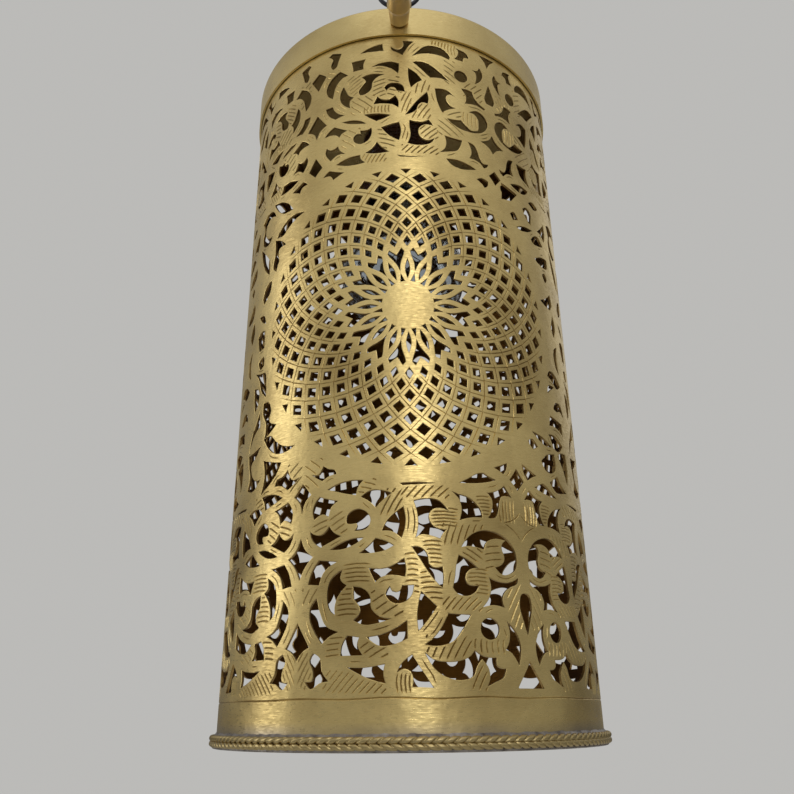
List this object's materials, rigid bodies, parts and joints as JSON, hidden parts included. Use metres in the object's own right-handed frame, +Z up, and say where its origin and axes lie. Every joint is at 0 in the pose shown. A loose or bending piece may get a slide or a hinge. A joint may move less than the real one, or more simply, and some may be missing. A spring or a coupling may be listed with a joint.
{
  "type": "hanging lantern",
  "caption": "Pierced brass cylinder lantern with a braided rim, skirted cap, thumb screws, stem and hanging ring, holding a screw-in bulb.",
  "frame": {"origin": "inside top of the hanging ring, where a ceiling hook carries the lantern", "axes": "+Z up along the lantern's own axis, -Y towards the front thumb screw, +X to the right seen from the front"},
  "size_m": [0.1716, 0.1733, 0.42],
  "materials": {
    "shade_brass": "pierced and chased sheet, brushed, lightly aged",
    "cap_brass": "brushed around, satin",
    "rope_brass": "twisted wire, dark in the grooves",
    "screw_brass": "turned and polished",
    "stem_brass": "turned, satin",
    "plain_brass": "machined",
    "solder": "dull tin solder",
    "ring_iron": "blackened wire",
    "holder_brown": "moulded brown thermoset",
    "ceramic": "glazed porcelain",
    "nickel": "nickel-plated",
    "bush_plastic": "black moulded bush",
    "bulb_glass": "clear blown glass",
    "bulb_black": "black glass insulator",
    "filament": "drawn wire"
  },
  "bodies": {
    "hanging_ring": {"hanging_ring": "ring_iron"},
    "lantern": {"stem_ball": "stem_brass", "stem_tube": "stem_brass", "stem_collar": "stem_brass", "threaded_nipple": "plain_brass", "cap_washer": "nickel", "lock_nut": "plain_brass", "cord_bush": "bush_plastic", "cap": "cap_brass", "screw_boss_1": "screw_brass", "screw_boss_2": "screw_brass", "screw_boss_3": "screw_brass", "shade": "shade_brass", "rim_rope_lower": "rope_brass", "rim_rope_upper": "rope_brass", "rim_solder": "solder", "holder_cap": "holder_brown", "holder_body": "holder_brown", "holder_sleeve": "nickel", "holder_insert": "ceramic", "centre_contact": "nickel", "terminal_screw_1": "nickel", "terminal_screw_2": "nickel"},
    "thumb_screw_1": {"thumb_screw_1": "screw_brass"},
    "thumb_screw_2": {"thumb_screw_2": "screw_brass"},
    "thumb_screw_3": {"thumb_screw_3": "screw_brass"},
    "bulb": {"bulb_glass": "bulb_glass", "bulb_cap": "nickel", "bulb_insulator": "bulb_black", "bulb_contact": "nickel", "bulb_mount": "bulb_glass", "bulb_filament": "filament"}
  },
  "joints": [
    {"name": "lantern_swing", "type": "hinge", "parent": "hanging_ring", "child": "lantern", "pos_m": [0, 0, -0.0234], "axis": [1, 0, 0], "range_deg": [-60, 60]},
    {"name": "screw_1_out", "type": "slide", "parent": "lantern", "child": "thumb_screw_1", "axis": [0, -1, 0], "range_m": [0, 0.003]},
    {"name": "screw_2_out", "type": "slide", "parent": "lantern", "child": "thumb_screw_2", "axis": [0.866, 0.5, 0], "range_m": [0, 0.003]},
    {"name": "screw_3_out", "type": "slide", "parent": "lantern", "child": "thumb_screw_3", "axis": [-0.866, 0.5, 0], "range_m": [0, 0.003]},
    {"name": "bulb_turn", "type": "hinge", "parent": "lantern", "child": "bulb", "pos_m": [0, 0, -0.1476], "axis": [0, 0, 1], "continuous": true}
  ]
}
